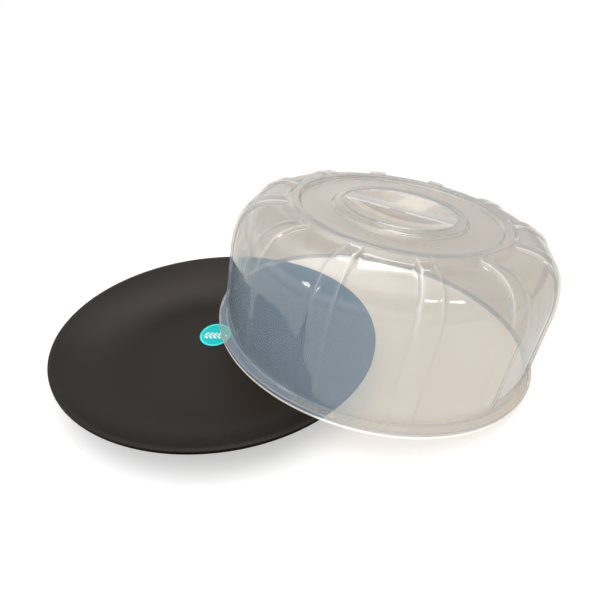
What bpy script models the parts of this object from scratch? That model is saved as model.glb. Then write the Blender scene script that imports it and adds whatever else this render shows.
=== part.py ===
"""Round plastic serving tray with its lift-off fluted dome cover.

Frame: metres, +Z up. The origin is the centre of the tray's flat base, on the table.
+X points to the side where the cover has slipped off: its foot lies on the tray's rim
near the tray's middle and on the table at its far +X side, so the cover leans towards +X.
"""
import bpy
import bmesh
from math import asin, atan2, cos, hypot, pi, radians, sin, sqrt, tan
from mathutils import Matrix, Vector

# ---- driving dimensions -------------------------------------------------------------
GAP = 0.0003                # clearance between touching pieces
MERGE = 1e-6                # points closer than this are one point

TRAY_RADIUS = 0.165
TRAY_RIM_HEIGHT = 0.0324    # top of the rim above the table
TRAY_WALL = 0.003
TRAY_FLAT_RADIUS = 0.088    # the flat middle, where the food stands
TRAY_RIM_WIDTH = 0.0038
TRAY_RIM_DEPTH = 0.0036     # height of the rim's outer edge
TRAY_COVE_POWER = 2.2       # how late the cove steepens towards the rim
TRAY_COLUMNS = 72

LABEL_CENTRE = (-0.0028, 0.0293)
LABEL_HALF_LENGTH = 0.0213
LABEL_HALF_WIDTH = 0.0175
LABEL_TURN = radians(81)
LABEL_THICKNESS = 0.0004

DOME_FOOT_RADIUS = 0.160
DOME_WALL = 0.002
DOME_OFFSET = 0.1644        # how far the cover's centre has slipped along +X
WALL_FOOT_RADIUS = 0.1515   # wall just above the foot flange
SHOULDER_RADIUS = 0.150     # wall where the shoulder starts
SHOULDER_HEIGHT = 0.071
CROWN_RADIUS = 0.1095       # where the shoulder ends
CROWN_HEIGHT = 0.1265
SHOULDER_POWER = 2.55       # exponent of the shoulder's superellipse
PLATE_HEIGHT = 0.1280       # flat top of the cover
BAND_OUTER = 0.1000         # raised band round the flat top
BAND_INNER = 0.0935
BAND_HEIGHT = 0.1313

RIB_COUNT = 12
RIB_PHASE = radians(-5.2)
RIB_HALF_CREST = radians(3.1)
RIB_HALF_BASE = radians(4.3)
RIB_RISE = 0.0024
RIB_FLUTE = radians(9.6)    # extra columns between two ribs

LIP_OUTER = 0.0625          # raised ring round the handle
LIP_CREST = 0.0600
LIP_HEIGHT = 0.1305
WELL_HALF_LENGTH = 0.0515   # oval hollow under the handle bar
WELL_HALF_WIDTH = 0.0460
WELL_EDGE_HEIGHT = 0.1315   # edge of the hollow and top of the bar
WELL_DEPTH = 0.0115
BAR_TURN = radians(-32.5)
BAR_HALF_TOP = 0.0076
BAR_HALF_BOTTOM = 0.0086

FLUTE_STEPS = 44            # columns along each side of the bar
BAR_END_STEPS = 4           # columns across each end of the bar
WELL_ROWS = 3


# ---- mesh helpers -------------------------------------------------------------------
def new_object(name, mesh_builder, material, smooth_angle=radians(30)):
    """Turn a bmesh into a named object with its outside faces pointing out."""
    bmesh.ops.remove_doubles(mesh_builder, verts=mesh_builder.verts, dist=MERGE)
    bmesh.ops.recalc_face_normals(mesh_builder, faces=mesh_builder.faces)
    mesh = bpy.data.meshes.new(name)
    mesh_builder.to_mesh(mesh)
    mesh_builder.free()
    mesh.shade_smooth()
    mesh.set_sharp_from_angle(angle=smooth_angle)
    mesh.materials.append(material)
    piece = bpy.data.objects.new(name, mesh)
    bpy.context.collection.objects.link(piece)
    return piece


def plastic(name, colour, roughness, alpha=1.0):
    material = bpy.data.materials.new(name)
    material.use_nodes = True
    shader = material.node_tree.nodes["Principled BSDF"]
    shader.inputs["Base Color"].default_value = (*colour, 1.0)
    shader.inputs["Metallic"].default_value = 0.0
    shader.inputs["Roughness"].default_value = roughness
    shader.inputs["Alpha"].default_value = alpha
    return material


def add_grid(mesh_builder, rows, closed):
    """Join neighbouring rows of points with quads; closed rows meet their own start."""
    made = [[mesh_builder.verts.new(point) for point in row] for row in rows]
    count = len(made[0])
    last = count if closed else count - 1
    for low, high in zip(made, made[1:]):
        for i in range(last):
            j = (i + 1) % count
            mesh_builder.faces.new((low[i], low[j], high[j], high[i]))
    return made


def polar(radius, angle, height):
    return Vector((radius * cos(angle), radius * sin(angle), height))


# ---- tray ---------------------------------------------------------------------------
def cove_point(u):
    """Upper surface of the tray's cove: u = 0 at the flat middle, 1 at the rim."""
    run = TRAY_RADIUS - TRAY_RIM_WIDTH - TRAY_FLAT_RADIUS
    rise = TRAY_RIM_HEIGHT - TRAY_WALL
    radius = TRAY_FLAT_RADIUS + run * u
    height = TRAY_WALL + rise * u ** TRAY_COVE_POWER
    slope = rise / run * TRAY_COVE_POWER * u ** (TRAY_COVE_POWER - 1)
    return radius, height, slope


def tray_profile():
    """Points from the middle of the upper face, over the rim, to the base."""
    steps = 9
    profile = [(TRAY_FLAT_RADIUS * 0.5, TRAY_WALL)]
    for i in range(steps + 1):
        radius, height, _ = cove_point(i / steps)
        profile.append((radius, height))
    edge = 0.0006
    profile.append((TRAY_RADIUS - edge, TRAY_RIM_HEIGHT))
    profile.append((TRAY_RADIUS, TRAY_RIM_HEIGHT - edge))
    profile.append((TRAY_RADIUS, TRAY_RIM_HEIGHT - TRAY_RIM_DEPTH))
    profile.append((TRAY_RADIUS - 0.0018, TRAY_RIM_HEIGHT - TRAY_RIM_DEPTH - 0.0003))
    for i in range(steps, -1, -1):
        radius, height, slope = cove_point(0.95 * i / steps)
        size = sqrt(1 + slope * slope)
        below = (radius + TRAY_WALL * slope / size, height - TRAY_WALL / size)
        profile.append(below)
    return profile


def build_tray(material):
    mesh_builder = bmesh.new()
    turns = [2 * pi * i / TRAY_COLUMNS for i in range(TRAY_COLUMNS)]
    rows = [[polar(r, turn, z) for turn in turns] for r, z in tray_profile()]
    made = add_grid(mesh_builder, rows, closed=True)
    mesh_builder.faces.new(made[0])
    mesh_builder.faces.new(made[-1])
    return new_object("tray", mesh_builder, material)


# ---- label --------------------------------------------------------------------------
def build_label(material):
    """Thin oval sticker lying on the flat middle of the tray."""
    mesh_builder = bmesh.new()
    low = TRAY_WALL + GAP
    steps = 48
    rows = []
    for height in (low, low + LABEL_THICKNESS):
        row = []
        for i in range(steps):
            turn = 2 * pi * i / steps
            point = Vector((LABEL_HALF_LENGTH * cos(turn), LABEL_HALF_WIDTH * sin(turn), height))
            point.rotate(Matrix.Rotation(LABEL_TURN, 3, "Z"))
            row.append(point + Vector((*LABEL_CENTRE, 0)))
        rows.append(row)
    made = add_grid(mesh_builder, rows, closed=True)
    mesh_builder.faces.new(made[0])
    mesh_builder.faces.new(made[-1])
    return new_object("round_label", mesh_builder, material)


# ---- dome cover ---------------------------------------------------------------------
def rib_columns():
    """Angles of the wall's columns and how much of the rib's rise each one gets."""
    pattern = [
        (-RIB_FLUTE, 0.0), (-RIB_HALF_BASE, 0.0), (-RIB_HALF_CREST, 1.0), (0.0, 1.0),
        (RIB_HALF_CREST, 1.0), (RIB_HALF_BASE, 0.0), (RIB_FLUTE, 0.0), (pi / RIB_COUNT, 0.0),
    ]
    columns = []
    for k in range(RIB_COUNT):
        centre = RIB_PHASE + 2 * pi * k / RIB_COUNT
        columns += [(centre + offset, share) for offset, share in pattern]
    return columns


def well_size(inset):
    return WELL_HALF_LENGTH + inset, WELL_HALF_WIDTH + inset


def handle_columns(inset):
    """Angle and reach of points round the well; four are the corners of the bar's ends."""
    length, width = well_size(inset)
    corner = asin((BAR_HALF_BOTTOM - inset) / width)
    turns = [-corner + 2 * corner * i / BAR_END_STEPS for i in range(BAR_END_STEPS)]
    turns += [corner + (pi - 2 * corner) * i / FLUTE_STEPS for i in range(FLUTE_STEPS)]
    columns = []
    for half_turn in (0, pi):
        for turn in turns:
            x, y = length * cos(turn), width * sin(turn)
            columns.append((BAR_TURN + half_turn + atan2(y, x), hypot(x, y)))
    return columns


def matched_columns(inner_angles):
    """Wall columns listed from the one nearest to the handle's first column."""
    columns = rib_columns()

    def apart(angle):
        return abs((angle - inner_angles[0] + pi) % (2 * pi) - pi)

    start = min(range(len(columns)), key=lambda i: apart(columns[i][0]))
    ordered = columns[start:] + columns[:start]
    matched = []
    for (angle, share), inner in zip(ordered, inner_angles):
        nearest = inner + (angle - inner + pi) % (2 * pi) - pi
        matched.append((nearest, share))
    return matched


def shoulder_point(turn, inset):
    """Point on the shoulder's superellipse, moved inwards by the wall's thickness."""
    across = max(cos(turn), 0.0) ** (2 / SHOULDER_POWER)
    up = max(sin(turn), 0.0) ** (2 / SHOULDER_POWER)
    radius = CROWN_RADIUS + (SHOULDER_RADIUS - CROWN_RADIUS) * across
    height = SHOULDER_HEIGHT + (CROWN_HEIGHT - SHOULDER_HEIGHT) * up
    return radius - inset * cos(turn), height - inset * sin(turn)


def wall_rows(inset):
    """Foot, wall, shoulder and band as (radius, height, rib share, plate share)."""
    if inset:
        rows = [
            (DOME_FOOT_RADIUS - inset, 0.0, 0, 0),
            (DOME_FOOT_RADIUS - inset, 0.0036, 0, 0),
            (WALL_FOOT_RADIUS + 0.0004, 0.0044, 0, 0),
        ]
    else:
        rows = [
            (DOME_FOOT_RADIUS, 0.0, 0, 0),
            (DOME_FOOT_RADIUS, 0.0048, 0, 0),
            (DOME_FOOT_RADIUS - 0.0010, 0.0057, 0, 0),
            (WALL_FOOT_RADIUS + 0.0018, 0.0064, 0, 0),
        ]
    rows += [
        (WALL_FOOT_RADIUS - inset, 0.0085, 0, 0),
        (WALL_FOOT_RADIUS - inset - 0.0002, 0.0200, 1, 0),
    ]
    steps = 7
    for i in range(steps + 1):
        turn = pi / 2 * i / steps
        radius, height = shoulder_point(turn, inset)
        rows.append((radius, height, 1, 0))
    rows += [
        (BAND_OUTER + 0.0055, CROWN_HEIGHT + 0.0010 - inset, 0.8, 0),
        (BAND_OUTER + 0.0012 - inset * 0.4, BAND_HEIGHT - 0.0014 - inset, 0, 0.1),
        (BAND_OUTER - 0.0010, BAND_HEIGHT - inset, 0, 0.1),
        (BAND_INNER, BAND_HEIGHT - inset, 0, 0.1),
        (BAND_INNER - 0.0025, PLATE_HEIGHT - inset, 0, 0.2),
        (LIP_OUTER, PLATE_HEIGHT - inset, 0, 1),
        (LIP_CREST, LIP_HEIGHT - inset, 0, 1),
    ]
    return rows


def cover_surface(inset):
    """One skin of the cover: 0 is the outside, DOME_WALL the inside."""
    well_edge = handle_columns(inset)
    inner_angles = [angle for angle, _ in well_edge]
    columns = matched_columns(inner_angles)
    rows = []
    for radius, height, rib, blend in wall_rows(inset):
        row = []
        for (angle, share), inner in zip(columns, inner_angles):
            lift = RIB_RISE * rib * share
            out = min(max((radius - CROWN_RADIUS) / (SHOULDER_RADIUS - CROWN_RADIUS), 0), 1)
            tilt = asin(out)
            turn = angle + (inner - angle) * blend
            row.append(polar(radius + lift * sin(tilt), turn, height + lift * cos(tilt)))
        rows.append(row)
    rows.append([polar(reach, angle, WELL_EDGE_HEIGHT - inset) for angle, reach in well_edge])
    return rows


def well_height(x, y, inset):
    """Height of the oval hollow's surface under the bar."""
    length, width = well_size(inset)
    part = (x / length) ** 2 + (y / width) ** 2
    return WELL_EDGE_HEIGHT - inset - WELL_DEPTH * max(1 - part, 0.0)


def add_handle(mesh_builder, inset):
    """The two half-moon hollows and the bar between them, for one skin."""
    length, width = well_size(inset)
    half_bottom = BAR_HALF_BOTTOM - inset
    half_top = BAR_HALF_TOP - inset
    corner = asin(half_bottom / width)
    spin = Matrix.Rotation(BAR_TURN, 3, "Z")
    arc = [corner + (pi - 2 * corner) * i / FLUTE_STEPS for i in range(FLUTE_STEPS + 1)]
    bar_height = WELL_EDGE_HEIGHT - inset
    for side in (1, -1):
        rows = []
        for k in range(WELL_ROWS + 1):
            row = []
            for turn in arc:
                x = length * cos(turn)
                y = half_bottom + (width * sin(turn) - half_bottom) * k / WELL_ROWS
                row.append(spin @ Vector((side * x, side * y, well_height(x, y, inset))))
            rows.append(row)
        top = []
        for i, turn in enumerate(arc):
            y = half_bottom if i in (0, FLUTE_STEPS) else half_top
            top.append(spin @ Vector((side * length * cos(turn), side * y, bar_height)))
        add_grid(mesh_builder, [top] + rows, closed=False)
    strip = []
    for k in range(BAR_END_STEPS + 1):
        tilt = -corner + 2 * corner * k / BAR_END_STEPS
        row = []
        for i, turn in enumerate(arc):
            x = length * cos(tilt) * cos(turn) / cos(corner)
            y = width * sin(tilt)
            if i not in (0, FLUTE_STEPS):
                y *= half_top / half_bottom
            row.append(spin @ Vector((x, y, bar_height)))
        strip.append(row)
    add_grid(mesh_builder, strip, closed=False)


def foot_crossing(lean):
    """Height of the foot's plane where its inner edge crosses the tray's edge in plan."""
    foot = DOME_FOOT_RADIUS - DOME_WALL

    def side(x):
        across = (x - DOME_OFFSET) / cos(lean)
        return across ** 2 + TRAY_RADIUS ** 2 - x * x - foot ** 2

    low, high = 0.0, TRAY_RADIUS
    for _ in range(60):
        middle = (low + high) / 2
        if side(low) * side(middle) <= 0:
            high = middle
        else:
            low = middle
    return foot_centre_height(lean) - (low - DOME_OFFSET) * tan(lean)


def foot_centre_height(lean):
    return DOME_FOOT_RADIUS * sin(lean)


def solve_lean():
    """Lean at which the foot clears the rim by the gap while its far side is down."""
    low, high = radians(2), radians(20)
    for _ in range(60):
        middle = (low + high) / 2
        if foot_crossing(middle) < TRAY_RIM_HEIGHT + GAP:
            low = middle
        else:
            high = middle
    return low


def build_dome(material):
    mesh_builder = bmesh.new()
    outer = cover_surface(0.0)
    inner = cover_surface(DOME_WALL)
    add_grid(mesh_builder, outer, closed=True)
    add_grid(mesh_builder, inner, closed=True)
    add_grid(mesh_builder, [outer[0], inner[0]], closed=True)
    add_handle(mesh_builder, 0.0)
    add_handle(mesh_builder, DOME_WALL)
    piece = new_object("dome_cover", mesh_builder, material)
    lean = solve_lean()
    seat = bpy.data.objects.new("dome_seat", None)
    bpy.context.collection.objects.link(seat)
    seat.location = (DOME_OFFSET, 0.0, foot_centre_height(lean))
    seat.rotation_euler = (0.0, lean, 0.0)
    piece.parent = seat
    return piece


def main():
    for old in list(bpy.data.objects):
        bpy.data.objects.remove(old)
    build_tray(plastic("black_plastic", (0.012, 0.011, 0.012), 0.45))
    build_label(plastic("label_film", (0.02, 0.56, 0.56), 0.35))
    build_dome(plastic("clear_plastic", (0.72, 0.70, 0.67), 0.15, alpha=0.45))


main()
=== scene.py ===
"""Looks of the round serving tray and its fluted dome cover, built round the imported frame.

Metres, +Z up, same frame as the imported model: the origin is the middle of the tray's base.
"""
from math import asin, atan2, cos, hypot, pi, radians, sin, sqrt, tan

import bmesh
import bpy
from mathutils import Matrix, Vector


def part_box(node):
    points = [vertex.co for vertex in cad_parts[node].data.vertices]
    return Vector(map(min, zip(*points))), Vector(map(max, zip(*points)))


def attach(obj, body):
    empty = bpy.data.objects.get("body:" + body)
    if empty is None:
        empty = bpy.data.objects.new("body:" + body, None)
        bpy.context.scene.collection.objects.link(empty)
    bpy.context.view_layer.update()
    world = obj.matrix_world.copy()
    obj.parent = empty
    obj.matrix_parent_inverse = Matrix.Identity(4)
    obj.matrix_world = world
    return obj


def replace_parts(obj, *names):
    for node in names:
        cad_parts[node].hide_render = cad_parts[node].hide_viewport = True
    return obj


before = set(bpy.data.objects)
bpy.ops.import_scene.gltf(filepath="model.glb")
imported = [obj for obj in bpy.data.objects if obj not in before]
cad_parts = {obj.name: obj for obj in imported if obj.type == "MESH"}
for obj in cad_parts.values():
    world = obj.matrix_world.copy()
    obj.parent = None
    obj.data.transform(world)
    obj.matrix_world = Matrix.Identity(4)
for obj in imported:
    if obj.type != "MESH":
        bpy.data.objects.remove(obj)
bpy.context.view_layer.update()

# ---- places read from the frame -------------------------------------------------------
TRAY_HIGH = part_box("tray")[1]
LABEL_LOW, LABEL_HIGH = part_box("round_label")
DOME_LOW, DOME_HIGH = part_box("dome_cover")

GAP = 0.0003                # clearance between the cover's foot and the tray's rim
TRAY_RADIUS = TRAY_HIGH.x
RIM_HEIGHT = TRAY_HIGH.z
FOOT_RADIUS = (DOME_HIGH.y - DOME_LOW.y) / 2

# ---- tray sections --------------------------------------------------------------------
TRAY_WALL = 0.003
TRAY_FLAT_RADIUS = 0.088
RIM_WIDTH = 0.0038
RIM_DEPTH = 0.0036
COVE_POWER = 2.2
COVE_END = 0.985            # share of the cove where the rim's rounding takes over
UNDERSIDE_END = 0.93        # share of the cove that has an underside of its own
FLAT_RINGS = (0.03, 0.06)   # radii of the rings that divide the flat middle
POLE_RADIUS = 0.0005        # the middle is closed by a face of this radius

# ---- cover sections, in the cover's own frame: foot on z = 0, axis on +Z ---------------
WALL = 0.002
WALL_FOOT_RADIUS = 0.1515
SHOULDER_RADIUS = 0.150
SHOULDER_HEIGHT = 0.071
CROWN_RADIUS = 0.1095
CROWN_HEIGHT = 0.1265
SHOULDER_POWER = 2.55
PLATE_HEIGHT = 0.1280
BAND_OUTER = 0.1000
BAND_INNER = 0.0925
BAND_HEIGHT = 0.1313
RIB_COUNT = 12
RIB_PHASE = radians(-5.2)
RIB_HALF_CREST = radians(3.1)
RIB_HALF_BASE = radians(4.3)
RIB_RISE = 0.0024
LIP_OUTER = 0.0625
LIP_CREST = 0.0600
LIP_HEIGHT = 0.1305
WELL_HALF_LENGTH = 0.0515
WELL_HALF_WIDTH = 0.0460
WELL_EDGE_HEIGHT = 0.1315
WELL_DEPTH = 0.0115
BAR_TURN = radians(-32.5)
BAR_HALF_TOP = 0.0076
BAR_HALF_BOTTOM = 0.0086
BAR_END_STEPS = 12
WELL_ROWS = 14
RIB_FOOT = 0.0085           # height where the ribs start to rise
RIB_FADE = 0.0060           # run over which a rib fades in or out
GROOVE_DEPTH = 0.0005       # groove between the lip and the well's edge
GROOVE_PLACE = 0.62
GROOVE_HALF_WIDTH = 0.20
# Painted highlight: the foot's lower edge, up to this height, is given a bright line in the
# cover's shader.
BRIM_HIGHLIGHT_HEIGHT = 0.0020        # bright lower edge of the foot
# Fold constants: how strongly the painted refraction lines show along the cover's folds: painted
# shade along creases and rings, painted highlight along upright ridges.
FOLD_SHARPNESS = 1000.0     # bend per metre that counts as a full fold
RING_ALIGNMENT = 0.7        # an edge this close to running round the axis is part of a ring
FOLD_FADE_HEIGHT = 0.075    # upright folds grow from faint to full above this height
FOLD_FADE_RUN = 0.04
FOLD_FAINTEST = 0.15


# ---- mesh helpers ---------------------------------------------------------------------
def polar(radius, angle, height):
    return Vector((radius * cos(angle), radius * sin(angle), height))


def add_grid(builder, rows, closed):
    """Join neighbouring rows of points with quads; closed rows meet their own start."""
    made = [[builder.verts.new(point) for point in row] for row in rows]
    count = len(made[0])
    last = count if closed else count - 1
    for low, high in zip(made, made[1:]):
        for i in range(last):
            j = (i + 1) % count
            builder.faces.new((low[i], low[j], high[j], high[i]))
    return made


def make_piece(name, builder, material, smooth_angle=radians(35)):
    """Finish a bmesh as a smooth-shaded object whose faces point out."""
    bmesh.ops.remove_doubles(builder, verts=builder.verts, dist=1e-6)
    bmesh.ops.recalc_face_normals(builder, faces=builder.faces)
    mesh = bpy.data.meshes.new(name)
    builder.to_mesh(mesh)
    builder.free()
    mesh.shade_smooth()
    mesh.set_sharp_from_angle(angle=smooth_angle)
    mesh.materials.append(material)
    piece = bpy.data.objects.new(name, mesh)
    bpy.context.scene.collection.objects.link(piece)
    return piece


def rounded(corners, steps=5):
    """Section through (radius, height, fillet) corners, each rounded by its fillet."""
    points = []
    for i, (x, y, fillet) in enumerate(corners):
        here = Vector((x, y))
        if fillet == 0 or i in (0, len(corners) - 1):
            points.append(here)
            continue
        before = Vector(corners[i - 1][:2]) - here
        after = Vector(corners[i + 1][:2]) - here
        half = before.angle(after) / 2
        reach = min(fillet / tan(half), before.length * 0.49, after.length * 0.49)
        radius = reach * tan(half)
        start = here + before.normalized() * reach
        bisector = (before.normalized() + after.normalized()).normalized()
        centre = here + bisector * (radius / sin(half))
        first = start - centre
        sweep = first.angle_signed(here + after.normalized() * reach - centre)
        for k in range(steps + 1):
            turned = first.copy()
            turned.rotate(Matrix.Rotation(-sweep * k / steps, 2))
            points.append(centre + turned)
    return [(point.x, point.y) for point in points]


def mark_folds(mesh):
    """Store on the points of the outer skin how tightly they bend, as the strength of the painted
    refraction lines.

    Upright ridges are kept as ridge, a painted highlight line; upright creases and all rings round
    the axis as crease, a painted shade line that shows pale over dark.
    """
    ridge_painted_highlight = [0.0] * len(mesh.vertices)
    crease_painted_line = [0.0] * len(mesh.vertices)
    builder = bmesh.new()
    builder.from_mesh(mesh)
    builder.normal_update()
    for edge in builder.edges:
        if len(edge.link_faces) != 2:
            continue
        one, two = edge.link_faces
        span = (one.calc_center_median() - two.calc_center_median()).length
        bend = edge.calc_face_angle_signed(0.0) / max(span, 1e-4) / FOLD_SHARPNESS
        near, far = (corner.co for corner in edge.verts)
        level = Vector((-near.y, near.x, 0)).normalized()
        is_ring = abs((far - near).normalized().dot(level)) > RING_ALIGNMENT
        kept = ridge_painted_highlight if bend > 0 and not is_ring else crease_painted_line
        strength = min(max((near.z - FOLD_FADE_HEIGHT) / FOLD_FADE_RUN, FOLD_FAINTEST), 1.0)
        if is_ring:
            strength = 1.0
        for corner in edge.verts:
            kept[corner.index] = max(kept[corner.index], strength * min(abs(bend), 1.0))
    builder.free()
    skin = [point.value for point in mesh.attributes["skin"].data]
    for name, values in (("ridge_painted_highlight", ridge_painted_highlight), ("crease_painted_line", crease_painted_line)):
        stored = mesh.attributes.new(name, "FLOAT", "POINT")
        for i, value in enumerate(values):
            stored.data[i].value = skin[i] * value


# ---- shader helpers -------------------------------------------------------------------
def new_material(name):
    material = bpy.data.materials.new(name)
    material.use_nodes = True
    return material, material.node_tree.nodes, material.node_tree.links


def node(nodes, kind, **values):
    """Add a shader node and set its inputs by name, with spaces as underscores."""
    made = nodes.new(kind)
    for key, value in values.items():
        made.inputs[key.replace("_", " ")].default_value = value
    return made


def ramp(nodes, stops):
    made = nodes.new("ShaderNodeValToRGB")
    made.color_ramp.elements[0].position = stops[0][0]
    made.color_ramp.elements[0].color = (*stops[0][1], 1)
    made.color_ramp.elements[1].position = stops[-1][0]
    made.color_ramp.elements[1].color = (*stops[-1][1], 1)
    for place, colour in stops[1:-1]:
        made.color_ramp.elements.new(place).color = (*colour, 1)
    return made


def stored_share(nodes, name):
    """Share from 0 to 1 that the mesh stores on its points under this name."""
    made = nodes.new("ShaderNodeAttribute")
    made.attribute_name = name
    return made.outputs["Fac"]


def mixed(nodes, links, share, first, second):
    """Colour that goes from the linked first to the plain second by the linked share."""
    made = nodes.new("ShaderNodeMix")
    made.data_type = "RGBA"
    for socket in made.inputs:
        if socket.name == "B" and socket.type == "RGBA":
            socket.default_value = (*second, 1)
        if socket.name == "A" and socket.type == "RGBA":
            links.new(first, socket)
    links.new(share, made.inputs["Factor"])
    return made.outputs["Result"]


# ---- materials ------------------------------------------------------------------------
def black_plastic(name, specular):
    """Near-black moulded plastic with a fine spark-eroded grain."""
    material, nodes, links = new_material(name)
    shader = nodes["Principled BSDF"]
    shader.inputs["Specular IOR Level"].default_value = specular
    shader.inputs["Specular Tint"].default_value = (1.0, 0.87, 0.78, 1.0)
    place = nodes.new("ShaderNodeTexCoord")
    grain = node(nodes, "ShaderNodeTexNoise", Scale=1500.0, Detail=2.0, Roughness=0.6)
    cloud = node(nodes, "ShaderNodeTexNoise", Scale=9.0, Detail=3.0, Roughness=0.5)
    links.new(place.outputs["Object"], grain.inputs["Vector"])
    links.new(place.outputs["Object"], cloud.inputs["Vector"])
    tone = ramp(nodes, [(0.3, (0.0040, 0.0034, 0.0029)), (0.7, (0.0062, 0.0054, 0.0048))])
    links.new(cloud.outputs["Fac"], tone.inputs["Fac"])
    links.new(tone.outputs["Color"], shader.inputs["Base Color"])
    gloss = node(nodes, "ShaderNodeMapRange", To_Min=0.44, To_Max=0.54)
    links.new(cloud.outputs["Fac"], gloss.inputs["Value"])
    links.new(gloss.outputs["Result"], shader.inputs["Roughness"])
    bump = node(nodes, "ShaderNodeBump", Strength=0.12, Distance=0.0002)
    links.new(grain.outputs["Fac"], bump.inputs["Height"])
    links.new(bump.outputs["Normal"], shader.inputs["Normal"])
    return material


SCHLICK_POWER = 5.0         # gloss grows from face on to grazing by Schlick's rule
SCHLICK_FACE_ON = 0.04


def hazy_plastic():
    """Clear plastic with a milky haze: it scatters blue more, so it passes warm light. Painted
    shade and highlight lines follow its folds and the foot's lower edge.
    """
    material, nodes, links = new_material("cover_hazy_plastic")
    nodes.remove(nodes["Principled BSDF"])
    output = nodes["Material Output"]
    place = nodes.new("ShaderNodeTexCoord")
    cloud = node(nodes, "ShaderNodeTexNoise", Scale=14.0, Detail=3.0, Roughness=0.5)
    links.new(place.outputs["Object"], cloud.inputs["Vector"])
    haze = ramp(nodes, [(0.35, (0.100, 0.143, 0.190)), (0.65, (0.108, 0.153, 0.204))])
    links.new(cloud.outputs["Fac"], haze.inputs["Fac"])
    facing = node(nodes, "ShaderNodeLayerWeight", Blend=0.35)
    face_on = (0.750, 0.678, 0.583)
    edge_on = (0.69, 0.63, 0.55)
    passed = ramp(nodes, [(0.0, face_on), (0.55, face_on), (1.0, edge_on)])
    links.new(facing.outputs["Facing"], passed.inputs["Fac"])
    through = passed.outputs["Color"]
    # What passes is cut at creases and at the foot's lower edge, which paints shade lines standing
    # in for light bent in the plastic; more passes at the bar's upright sides.
    for name, colour in (
        ("crease_painted_line", (0.36, 0.34, 0.32)),
        ("brim_painted_highlight", (0.34, 0.33, 0.32)),
        ("cheek", (0.90, 0.86, 0.82)),
    ):
        through = mixed(nodes, links, stored_share(nodes, name), through, colour)
    scattered = haze.outputs["Color"]
    # More haze at creases, ridges and the foot's lower edge paints bright refraction lines there:
    # painted highlight.
    for name, colour in (
        ("crease_painted_line", (0.24, 0.27, 0.30)),
        ("ridge_painted_highlight", (0.40, 0.43, 0.46)),
        ("brim_painted_highlight", (0.92, 0.88, 0.83)),
    ):
        scattered = mixed(nodes, links, stored_share(nodes, name), scattered, colour)
    clear = nodes.new("ShaderNodeBsdfTransparent")
    links.new(through, clear.inputs["Color"])
    milk = nodes.new("ShaderNodeBsdfDiffuse")
    links.new(scattered, milk.inputs["Color"])
    body = nodes.new("ShaderNodeAddShader")
    links.new(clear.outputs["BSDF"], body.inputs[0])
    links.new(milk.outputs["BSDF"], body.inputs[1])
    polish = nodes.new("ShaderNodeBsdfAnisotropic")
    scuffed = node(nodes, "ShaderNodeMapRange", To_Min=0.05, To_Max=0.42)
    links.new(stored_share(nodes, "worn"), scuffed.inputs["Value"])
    links.new(scuffed.outputs["Result"], polish.inputs["Roughness"])
    grazing = node(nodes, "ShaderNodeLayerWeight", Blend=0.5)
    power = nodes.new("ShaderNodeMath")
    power.operation = "POWER"
    power.inputs[1].default_value = SCHLICK_POWER
    links.new(grazing.outputs["Facing"], power.inputs[0])
    edge = node(nodes, "ShaderNodeMapRange", To_Min=SCHLICK_FACE_ON, To_Max=0.9)
    links.new(power.outputs["Value"], edge.inputs["Value"])
    surface = nodes.new("ShaderNodeMixShader")
    links.new(edge.outputs["Result"], surface.inputs["Fac"])
    links.new(body.outputs["Shader"], surface.inputs[1])
    links.new(polish.outputs["BSDF"], surface.inputs[2])
    links.new(surface.outputs["Shader"], output.inputs["Surface"])
    return material


def printed_film(name, low, high):
    """Glossy printed film with a faint unevenness in the ink."""
    material, nodes, links = new_material(name)
    shader = nodes["Principled BSDF"]
    shader.inputs["Roughness"].default_value = 0.3
    shader.inputs["Specular IOR Level"].default_value = 0.2
    place = nodes.new("ShaderNodeTexCoord")
    ink = node(nodes, "ShaderNodeTexNoise", Scale=260.0, Detail=3.0, Roughness=0.6)
    links.new(place.outputs["Object"], ink.inputs["Vector"])
    tone = ramp(nodes, [(0.35, low), (0.65, high)])
    links.new(ink.outputs["Fac"], tone.inputs["Fac"])
    links.new(tone.outputs["Color"], shader.inputs["Base Color"])
    return material


def floor_paint():
    """Pale floor that glows a little, which keeps the shadow pale."""
    material, nodes, links = new_material("studio_floor")
    shader = nodes["Principled BSDF"]
    shader.inputs["Roughness"].default_value = 0.9
    shader.inputs["Specular IOR Level"].default_value = 0.1
    shader.inputs["Emission Color"].default_value = (1.0, 1.0, 1.0, 1.0)
    shader.inputs["Emission Strength"].default_value = 0.45
    place = nodes.new("ShaderNodeTexCoord")
    cloud = node(nodes, "ShaderNodeTexNoise", Scale=3.0, Detail=2.0)
    links.new(place.outputs["Object"], cloud.inputs["Vector"])
    tone = ramp(nodes, [(0.3, (0.63, 0.63, 0.63)), (0.7, (0.65, 0.65, 0.645))])
    links.new(cloud.outputs["Fac"], tone.inputs["Fac"])
    links.new(tone.outputs["Color"], shader.inputs["Base Color"])
    return material


# ---- tray -----------------------------------------------------------------------------
def cove_point(u):
    """Upper surface of the tray's cove: u = 0 at the flat middle, 1 at the rim."""
    run = TRAY_RADIUS - RIM_WIDTH - TRAY_FLAT_RADIUS
    rise = RIM_HEIGHT - TRAY_WALL
    height = TRAY_WALL + rise * u ** COVE_POWER
    slope = rise / run * COVE_POWER * u ** (COVE_POWER - 1)
    return TRAY_FLAT_RADIUS + run * u, height, slope


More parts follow.
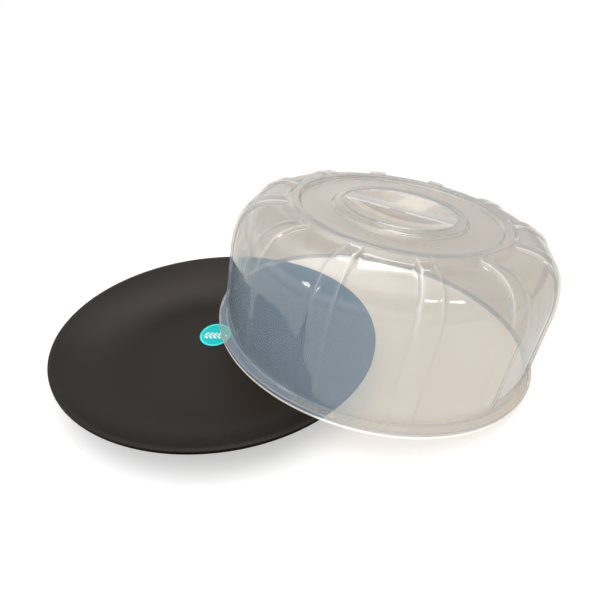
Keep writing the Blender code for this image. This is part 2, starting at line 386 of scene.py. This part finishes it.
def build_tray():
    steps = 48
    section = [(radius, TRAY_WALL) for radius in (POLE_RADIUS, *FLAT_RINGS)]
    section += [cove_point(i / steps)[:2] for i in range(steps)]
    rim = [
        (*cove_point(COVE_END)[:2], 0),
        (TRAY_RADIUS - RIM_WIDTH, RIM_HEIGHT, 0.0009),
        (TRAY_RADIUS, RIM_HEIGHT, 0.0009),
        (TRAY_RADIUS, RIM_HEIGHT - RIM_DEPTH, 0.0005),
        (TRAY_RADIUS - 0.0022, RIM_HEIGHT - RIM_DEPTH - 0.0002, 0.0008),
        (TRAY_RADIUS - 0.0034, RIM_HEIGHT - RIM_DEPTH - 0.0014, 0),
    ]
    section += rounded(rim)[1:]
    for i in range(steps, -1, -1):
        radius, height, slope = cove_point(UNDERSIDE_END * i / steps)
        size = sqrt(1 + slope * slope)
        section.append((radius + TRAY_WALL * slope / size, height - TRAY_WALL / size))
    section += [(radius, 0.0) for radius in (*reversed(FLAT_RINGS), POLE_RADIUS)]
    columns = 256
    turns = [2 * pi * i / columns for i in range(columns)]
    builder = bmesh.new()
    rows = [[polar(radius, turn, height) for turn in turns] for radius, height in section]
    made = add_grid(builder, rows, closed=True)
    builder.faces.new(made[0])
    builder.faces.new(made[-1])
    piece = make_piece("tray_moulding", builder, black_plastic("tray_black_plastic", 0.33))
    piece.data.materials.append(black_plastic("tray_edge_plastic", 0.02))
    edge_low = RIM_HEIGHT - RIM_DEPTH - 0.002
    edge_radius = TRAY_RADIUS - 0.001
    for face in piece.data.polygons:
        is_upright = abs(face.normal.z) < 0.3
        if is_upright and face.center.z > edge_low and face.center.xy.length > edge_radius:
            face.material_index = 1
    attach(piece, "tray")
    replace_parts(piece, "tray")


# ---- label ----------------------------------------------------------------------------
LABEL_CENTRE = (LABEL_LOW + LABEL_HIGH) / 2
LABEL_TURN = radians(81)
LABEL_HALF_LENGTH = 0.0213
LABEL_HALF_WIDTH = 0.0175
PRINT_LIFT = 0.00002        # gap between the film and what is printed on it
PRINT_TOP = 0.0001
FILM_SOFT_EDGE = 0.00012    # drop of the film's top at its outline
BORDER_INNER = 0.87         # the border's two edges, as shares of the outline
BORDER_OUTER = 0.96
STEM_LEFT = -0.0145
STEM_RIGHT = 0.0100
STEM_Y = -0.0022
STEM_HALF_WIDTH = 0.0004
LEAF_PAIRS = 4
LEAF_HALF_WIDTH = 0.0014
LEAF_GAP = 0.0007           # from the stem's middle line to a leaf's foot
LEAF_REACH = 0.0056
LEAF_SLANT = 0.0042


def label_place(x, y, height):
    """Point on the sticker from its own axes: x to its right, y along its length."""
    point = Matrix.Rotation(LABEL_TURN - pi / 2, 3, "Z") @ Vector((x, y, height))
    return point + Vector((LABEL_CENTRE.x, LABEL_CENTRE.y, 0))


def label_rows(shares, heights):
    """Rings of the sticker's oval outline, each at its own share of it and height."""
    columns = 96
    turns = [2 * pi * i / columns for i in range(columns)]
    rows = []
    for share, height in zip(shares, heights):
        width, length = share * LABEL_HALF_WIDTH, share * LABEL_HALF_LENGTH
        rows.append([label_place(width * cos(t), length * sin(t), height) for t in turns])
    return rows


def finish_label_piece(name, builder, material):
    piece = make_piece(name, builder, material)
    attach(piece, "tray")
    return piece


def add_leaf(builder, tip, foot, half_width, low, high):
    """Thin pointed leaf from its foot to its tip, as a closed plate."""
    along = Vector(tip) - Vector(foot)
    across = Vector((-along.y, along.x)).normalized()
    steps = 7
    outline = []
    for side in (1, -1):
        for i in range(steps):
            part = i / steps if side == 1 else 1 - i / steps
            swell = half_width * sin(pi * part) ** 0.8 * side
            outline.append(Vector(foot) + along * part + across * swell)
    rows = [[label_place(*point, height) for point in outline] for height in (low, high)]
    made = add_grid(builder, rows, closed=True)
    builder.faces.new(made[0])
    builder.faces.new(made[1])


def build_label():
    low, high = LABEL_LOW.z, LABEL_HIGH.z
    builder = bmesh.new()
    shares = (0.02, 0.5, 0.97, 1.0, 1.0, 0.5, 0.02)
    heights = (high, high, high, high - FILM_SOFT_EDGE, low, low, low)
    made = add_grid(builder, label_rows(shares, heights), closed=True)
    builder.faces.new(made[0])
    builder.faces.new(made[-1])
    teal = printed_film("label_teal", (0.003, 0.53, 0.52), (0.006, 0.60, 0.59))
    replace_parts(finish_label_piece("label_film", builder, teal), "round_label")

    under, over = high + PRINT_LIFT, high + PRINT_TOP
    builder = bmesh.new()
    shares = (BORDER_INNER, BORDER_INNER, BORDER_OUTER, BORDER_OUTER, BORDER_INNER)
    add_grid(builder, label_rows(shares, (under, over, over, under, under)), closed=True)
    pale = printed_film("label_pale_cyan", (0.11, 0.80, 0.80), (0.15, 0.87, 0.86))
    finish_label_piece("label_border", builder, pale)

    builder = bmesh.new()
    add_leaf(builder, (STEM_RIGHT, STEM_Y), (STEM_LEFT, STEM_Y), STEM_HALF_WIDTH, under, over)
    first_leaf = STEM_LEFT + 0.0028
    leaf_run = STEM_RIGHT - STEM_LEFT - 0.0050
    for k in range(LEAF_PAIRS):
        foot_x = first_leaf + leaf_run * k / LEAF_PAIRS
        for side in (1, -1):
            foot = (foot_x, STEM_Y + side * LEAF_GAP)
            tip = (foot_x + LEAF_SLANT, STEM_Y + side * LEAF_REACH)
            add_leaf(builder, tip, foot, LEAF_HALF_WIDTH, under, over)
    end_foot = (STEM_RIGHT + 0.0004, STEM_Y)
    end_tip = (STEM_RIGHT + 0.0045, STEM_Y)
    add_leaf(builder, end_tip, end_foot, LEAF_HALF_WIDTH, under, over)
    white = printed_film("label_white", (0.86, 0.88, 0.87), (0.93, 0.94, 0.94))
    finish_label_piece("label_leaf_sprig", builder, white)


# ---- cover ----------------------------------------------------------------------------
def rib_columns():
    """Angles of the wall's columns and how much of the rib's rise each one gets."""
    crest = [RIB_HALF_CREST * i / 3 for i in range(4)]
    flank = [RIB_HALF_CREST + (RIB_HALF_BASE - RIB_HALF_CREST) * i / 5 for i in range(1, 6)]
    flute = [RIB_HALF_BASE + (pi / RIB_COUNT - RIB_HALF_BASE) * i / 6 for i in range(1, 7)]
    half = crest + flank + flute
    offsets = [-offset for offset in reversed(half[1:-1])] + half
    columns = []
    for k in range(RIB_COUNT):
        centre = RIB_PHASE + 2 * pi * k / RIB_COUNT
        for offset in offsets:
            part = (RIB_HALF_BASE - abs(offset)) / (RIB_HALF_BASE - RIB_HALF_CREST)
            part = min(max(part, 0.0), 1.0)
            columns.append((centre + offset, part * part * (3 - 2 * part)))
    return columns


RIB_COLUMNS = rib_columns()
FLUTE_STEPS = len(RIB_COLUMNS) // 2 - BAR_END_STEPS


def well_size(inset):
    return WELL_HALF_LENGTH + inset, WELL_HALF_WIDTH + inset


def handle_columns(inset):
    """Angle and reach of points round the well; four are the corners of the bar's ends."""
    length, width = well_size(inset)
    corner = asin((BAR_HALF_BOTTOM - inset) / width)
    turns = [-corner + 2 * corner * i / BAR_END_STEPS for i in range(BAR_END_STEPS)]
    turns += [corner + (pi - 2 * corner) * i / FLUTE_STEPS for i in range(FLUTE_STEPS)]
    columns = []
    for half_turn in (0, pi):
        for turn in turns:
            x, y = length * cos(turn), width * sin(turn)
            columns.append((BAR_TURN + half_turn + atan2(y, x), hypot(x, y)))
    return columns


def matched_columns(inner_angles):
    """Wall columns listed from the one nearest to the handle's first column."""

    def apart(angle):
        return abs((angle - inner_angles[0] + pi) % (2 * pi) - pi)

    start = min(range(len(RIB_COLUMNS)), key=lambda i: apart(RIB_COLUMNS[i][0]))
    ordered = RIB_COLUMNS[start:] + RIB_COLUMNS[:start]
    matched = []
    for (angle, share), inner in zip(ordered, inner_angles):
        nearest = inner + (angle - inner + pi) % (2 * pi) - pi
        matched.append((nearest, share))
    return matched


def shoulder_point(turn, inset):
    across = max(cos(turn), 0.0) ** (2 / SHOULDER_POWER)
    up = max(sin(turn), 0.0) ** (2 / SHOULDER_POWER)
    radius = CROWN_RADIUS + (SHOULDER_RADIUS - CROWN_RADIUS) * across
    height = SHOULDER_HEIGHT + (CROWN_HEIGHT - SHOULDER_HEIGHT) * up
    return radius - inset * cos(turn), height - inset * sin(turn)


def cover_section(inset):
    """Skin of the cover from the foot to the well's edge as (radius, height) points."""
    t = inset
    if inset:
        foot = [
            (FOOT_RADIUS - t, 0.0, 0),
            (FOOT_RADIUS - t, 0.0038, 0.0008),
            (WALL_FOOT_RADIUS + 0.0008, 0.0043, 0.0014),
            (WALL_FOOT_RADIUS - t, 0.0090, 0.0020),
            (WALL_FOOT_RADIUS - t, 0.0160, 0),
        ]
    else:
        foot = [
            (FOOT_RADIUS - 0.0010, 0.0, 0),
            (FOOT_RADIUS, 0.0, 0.0005),
            (FOOT_RADIUS, 0.0018, 0),
            (FOOT_RADIUS, 0.0030, 0),
            (FOOT_RADIUS, 0.0056, 0.0012),
            (WALL_FOOT_RADIUS, 0.0064, 0.0018),
            (WALL_FOOT_RADIUS, 0.0160, 0),
        ]
    section = rounded(foot)
    wall_steps = 12
    first = section[-1]
    last = shoulder_point(0, t)
    for i in range(1, wall_steps):
        part = i / wall_steps
        radius = first[0] + (last[0] - first[0]) * part
        section.append((radius, first[1] + (last[1] - first[1]) * part))
    steps = 30
    section += [shoulder_point(pi / 2 * i / steps, t) for i in range(steps + 1)]
    edge = BAND_OUTER + 0.0006 - t * 0.3
    sweep_steps = 10
    for i in range(1, sweep_steps):
        part = i / sweep_steps
        rise = part ** 2.4
        radius = CROWN_RADIUS + (edge - CROWN_RADIUS) * part
        section.append((radius, CROWN_HEIGHT - t + (BAND_HEIGHT - 0.0006 - CROWN_HEIGHT) * rise))
    band = [
        (*section[-1], 0),
        (edge - 0.0006, BAND_HEIGHT - t, 0.0014),
        (BAND_INNER + 0.0010, BAND_HEIGHT - t, 0.0014),
        (BAND_INNER - 0.0010, PLATE_HEIGHT - t, 0.0014),
        (0.0800, PLATE_HEIGHT - t, 0),
    ]
    section += rounded(band)[1:]
    lip = [
        (0.0800, PLATE_HEIGHT - t, 0),
        (LIP_OUTER + 0.0004 - t * 0.4, PLATE_HEIGHT - t, 0.0012),
        (LIP_CREST + 0.0006 - t * 0.4, LIP_HEIGHT - t, 0.0016),
        (LIP_CREST - 0.0030, LIP_HEIGHT - t + 0.0004, 0),
    ]
    section += rounded(lip)[1:]
    return section


def rib_share(radius, height):
    """How much of its rise a rib has at a point of the wall: it fades at both ends."""
    at_foot = min(max((height - RIB_FOOT) / RIB_FADE, 0.0), 1.0)
    at_crown = min(max((radius - BAND_OUTER - 0.0012) / RIB_FADE, 0.0), 1.0)
    return at_foot * at_crown


def lip_rows(inset, well_edge, start):
    """Rows from the round lip to the oval edge of the well, with a groove before the edge."""
    rows = []
    steps = 8
    for k in range(1, steps + 1):
        part = k / steps
        groove = GROOVE_DEPTH * max(0.0, 1 - abs(part - GROOVE_PLACE) / GROOVE_HALF_WIDTH)
        rise = (WELL_EDGE_HEIGHT - inset - start[1]) * part
        rows.append([
            polar(start[0] + (reach - start[0]) * part, angle, start[1] + rise - groove)
            for angle, reach in well_edge
        ])
    return rows


def cover_rows(inset):
    well_edge = handle_columns(inset)
    inner_angles = [angle for angle, _ in well_edge]
    columns = matched_columns(inner_angles)
    section = cover_section(inset)
    rows = []
    for i, (radius, height) in enumerate(section):
        before = section[max(i - 1, 0)]
        after = section[min(i + 1, len(section) - 1)]
        along = Vector((after[0] - before[0], after[1] - before[1])).normalized()
        out = Vector((along.y, -along.x))
        rise = RIB_RISE * rib_share(radius, height)
        blend = min(max((BAND_INNER - 0.003 - radius) / 0.020, 0.0), 1.0)
        row = []
        for (angle, share), inner in zip(columns, inner_angles):
            lift = rise * share
            turn = angle + (inner - angle) * blend
            row.append(polar(radius + lift * out.x, turn, height + lift * out.y))
        rows.append(row)
    return rows + lip_rows(inset, well_edge, section[-1])


def well_height(x, y, inset):
    length, width = well_size(inset)
    part = (x / length) ** 2 + (y / width) ** 2
    return WELL_EDGE_HEIGHT - inset - WELL_DEPTH * max(1 - part, 0.0)


def add_handle(builder, inset):
    """The two half-moon hollows and the bar between them; gives the points of the bar's sides."""
    length, width = well_size(inset)
    half_bottom = BAR_HALF_BOTTOM - inset
    half_top = BAR_HALF_TOP - inset
    corner = asin(half_bottom / width)
    spin = Matrix.Rotation(BAR_TURN, 3, "Z")
    arc = [corner + (pi - 2 * corner) * i / FLUTE_STEPS for i in range(FLUTE_STEPS + 1)]
    edge = 0.0009
    edge_steps = 5
    flat = half_top + (half_bottom - half_top) * 0.2
    bar_height = WELL_EDGE_HEIGHT - inset

    def edge_share(turn):
        """How much of the bar's edge rounding fits into the hollow's depth here."""
        deep = bar_height - well_height(length * cos(turn), half_bottom, inset)
        return min(1.0, deep / (4 * edge))

    cheeks = []
    for side in (1, -1):
        rows = []
        for k in range(edge_steps + 1):
            bend = pi / 2 * k / edge_steps
            row = []
            for i, turn in enumerate(arc):
                share = edge_share(turn)
                y = half_bottom if i in (0, FLUTE_STEPS) else flat - edge * share * (1 - sin(bend))
                z = bar_height - edge * share * (1 - cos(bend))
                row.append(spin @ Vector((side * length * cos(turn), side * y, z)))
            rows.append(row)
        for k in range(WELL_ROWS + 1):
            row = []
            for turn in arc:
                x = length * cos(turn)
                y = half_bottom + (width * sin(turn) - half_bottom) * k / WELL_ROWS
                row.append(spin @ Vector((side * x, side * y, well_height(x, y, inset))))
            rows.append(row)
        made = add_grid(builder, rows, closed=False)
        cheeks += made[edge_steps] + made[edge_steps + 1]
    strip = []
    for k in range(BAR_END_STEPS + 1):
        tilt = -corner + 2 * corner * k / BAR_END_STEPS
        row = []
        for i, turn in enumerate(arc):
            x = length * cos(tilt) * cos(turn) / cos(corner)
            y = width * sin(tilt)
            if i not in (0, FLUTE_STEPS):
                y *= (flat - edge * edge_share(turn)) / half_bottom
            row.append(spin @ Vector((x, y, bar_height)))
        strip.append(row)
    add_grid(builder, strip, closed=False)
    return cheeks


def solve_seat():
    """Lean and offset of the cover: its low side on the table, its foot on the rim."""
    foot = FOOT_RADIUS - WALL

    def crossing(lean):
        offset = DOME_LOW.x + FOOT_RADIUS * cos(lean)
        low, high = 0.0, TRAY_RADIUS
        for _ in range(60):
            middle = (low + high) / 2
            across = (middle - offset) / cos(lean)
            if across ** 2 + TRAY_RADIUS ** 2 - middle ** 2 > foot ** 2:
                low = middle
            else:
                high = middle
        return FOOT_RADIUS * sin(lean) - (low - offset) * tan(lean)

    low, high = radians(2), radians(20)
    for _ in range(60):
        middle = (low + high) / 2
        if crossing(middle) < RIM_HEIGHT + GAP:
            low = middle
        else:
            high = middle
    return low, DOME_LOW.x + FOOT_RADIUS * cos(low)


def build_cover():
    builder = bmesh.new()
    skin = builder.verts.layers.float.new("skin")
    worn = builder.verts.layers.float.new("worn")
    brim_painted_highlight = builder.verts.layers.float.new("brim_painted_highlight")
    cheek = builder.verts.layers.float.new("cheek")
    outer = cover_rows(0.0)
    inner = cover_rows(WALL)
    add_grid(builder, outer, closed=True)
    wall_points = len(builder.verts)
    for point in add_handle(builder, 0.0):
        point[cheek] = 1.0
    for i, point in enumerate(builder.verts):
        point[skin] = 1.0
        point[worn] = float(i >= wall_points)
        # Painted highlight: points below this height get a bright line along the foot's lower
        # edge.
        point[brim_painted_highlight] = float(point.co.z < BRIM_HIGHLIGHT_HEIGHT)
    add_grid(builder, inner, closed=True)
    add_handle(builder, WALL)
    add_grid(builder, [outer[0], inner[0]], closed=True)
    piece = make_piece("cover_moulding", builder, hazy_plastic(), radians(40))
    lean, offset = solve_seat()
    seat = Matrix.Translation((offset, 0, FOOT_RADIUS * sin(lean))) @ Matrix.Rotation(lean, 4, "Y")
    mark_folds(piece.data)
    piece.data.transform(seat)
    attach(piece, "dome")
    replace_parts(piece, "dome_cover")


# ---- studio ---------------------------------------------------------------------------
def build_floor():
    builder = bmesh.new()
    half = 40.0
    drop = -0.0002
    signs = ((-1, -1), (1, -1), (1, 1), (-1, 1))
    corners = [builder.verts.new((x * half, y * half, drop)) for x, y in signs]
    builder.faces.new(corners)
    make_piece("studio_floor", builder, floor_paint())


def area_light(name, place, target, along, length, width, power):
    """Rectangular lamp at a place, facing the target, with its long side along a vector."""
    data = bpy.data.lights.new(name, "AREA")
    data.shape = "RECTANGLE"
    data.size = length
    data.size_y = width
    data.energy = power
    lamp = bpy.data.objects.new(name, data)
    bpy.context.scene.collection.objects.link(lamp)
    back = (Vector(place) - Vector(target)).normalized()
    across = (Vector(along) - Vector(along).dot(back) * back).normalized()
    turn = Matrix((across, back.cross(across), back)).transposed().to_4x4()
    lamp.matrix_world = Matrix.Translation(place) @ turn
    return lamp


def heading(elevation, azimuth):
    up, round_z = radians(elevation), radians(azimuth)
    return Vector((cos(up) * cos(round_z), cos(up) * sin(round_z), sin(up)))


def grey_ramp(nodes, stops):
    return ramp(nodes, [(place, (grey, grey, grey)) for place, grey in stops])


def build_sky():
    """Sky graded by height and brighter at the left; the camera itself sees plain white."""
    world = bpy.data.worlds.new("studio")
    bpy.context.scene.world = world
    world.use_nodes = True
    nodes, links = world.node_tree.nodes, world.node_tree.links
    back = nodes["Background"]
    place = nodes.new("ShaderNodeTexCoord")
    split = nodes.new("ShaderNodeSeparateXYZ")
    links.new(place.outputs["Generated"], split.inputs["Vector"])
    tone = grey_ramp(nodes, [
        (0.0, 0.5), (0.1, 0.75), (0.2, 1.2), (0.32, 0.9), (0.40, 0.3), (0.6, 0.3),
        (0.8, 0.8), (0.9, 2.1), (1.0, 2.4),
    ])
    links.new(split.outputs["Z"], tone.inputs["Fac"])
    links.new(tone.outputs["Color"], back.inputs["Color"])
    sideways = node(nodes, "ShaderNodeMapRange", From_Min=-1.0, From_Max=1.0)
    links.new(split.outputs["X"], sideways.inputs["Value"])
    share = grey_ramp(nodes, [(0.0, 1.26), (0.4, 1.22), (0.6, 1.04), (0.72, 0.66), (1.0, 0.58)])
    links.new(sideways.outputs["Result"], share.inputs["Fac"])
    links.new(share.outputs["Color"], back.inputs["Strength"])
    plain = node(nodes, "ShaderNodeBackground", Color=(1.0, 1.0, 1.0, 1.0))
    rays = nodes.new("ShaderNodeLightPath")
    sky = nodes.new("ShaderNodeMixShader")
    links.new(rays.outputs["Is Camera Ray"], sky.inputs["Fac"])
    links.new(back.outputs["Background"], sky.inputs[1])
    links.new(plain.outputs["Background"], sky.inputs[2])
    links.new(sky.outputs["Shader"], nodes["World Output"].inputs["Surface"])


def build_lamps():
    """A front softbox for the haze, and lamps that only the gloss shows."""
    place, middle, level = (-0.3, -1.3, 1.5), (0.05, 0, 0.05), (1, 0, 0)
    front = area_light("front_softbox", place, middle, level, length=1.2, width=0.9, power=4)
    front.visible_glossy = False
    shoulder = Vector((0.13, -0.11, 0.155))
    place, strip = shoulder + 1.5 * heading(48, 67), heading(66, 76) - heading(30, 57)
    window = area_light("window", place, shoulder, strip, length=1.0, width=0.3, power=7)
    window.visible_diffuse = False
    headings = (("lamp_a", 42, -62), ("lamp_b", 36, -42), ("lamp_c", 22, -157))
    for name, elevation, azimuth in headings:
        place = shoulder + 1.2 * heading(elevation, azimuth)
        lamp = area_light(name, place, shoulder, level, length=0.26, width=0.12, power=1.2)
        lamp.visible_diffuse = False


def build_camera():
    """Camera fitted to the outlines of the tray's rim and the cover's foot."""
    data = bpy.data.cameras.new("camera")
    data.sensor_width = 36
    data.lens = 29.63
    data.shift_x = 0.0470
    data.shift_y = 0.0364
    data.clip_start = 0.01
    data.clip_end = 200
    pitch, yaw, roll = 0.5972, 0.0356, -0.0471
    ahead = Vector((sin(yaw) * cos(pitch), cos(yaw) * cos(pitch), -sin(pitch)))
    level = Vector((cos(yaw), -sin(yaw), 0))
    above = level.cross(ahead)
    right = cos(roll) * level + sin(roll) * above
    up = -sin(roll) * level + cos(roll) * above
    camera = bpy.data.objects.new("camera", data)
    bpy.context.scene.collection.objects.link(camera)
    turn = Matrix((right, up, -ahead)).transposed().to_4x4()
    camera.matrix_world = Matrix.Translation((0.0449, -0.4254, 0.3251)) @ turn
    bpy.context.scene.camera = camera


build_tray()
build_label()
build_cover()
build_floor()
build_sky()
build_lamps()
build_camera()
bpy.context.scene.view_settings.view_transform = "Standard"
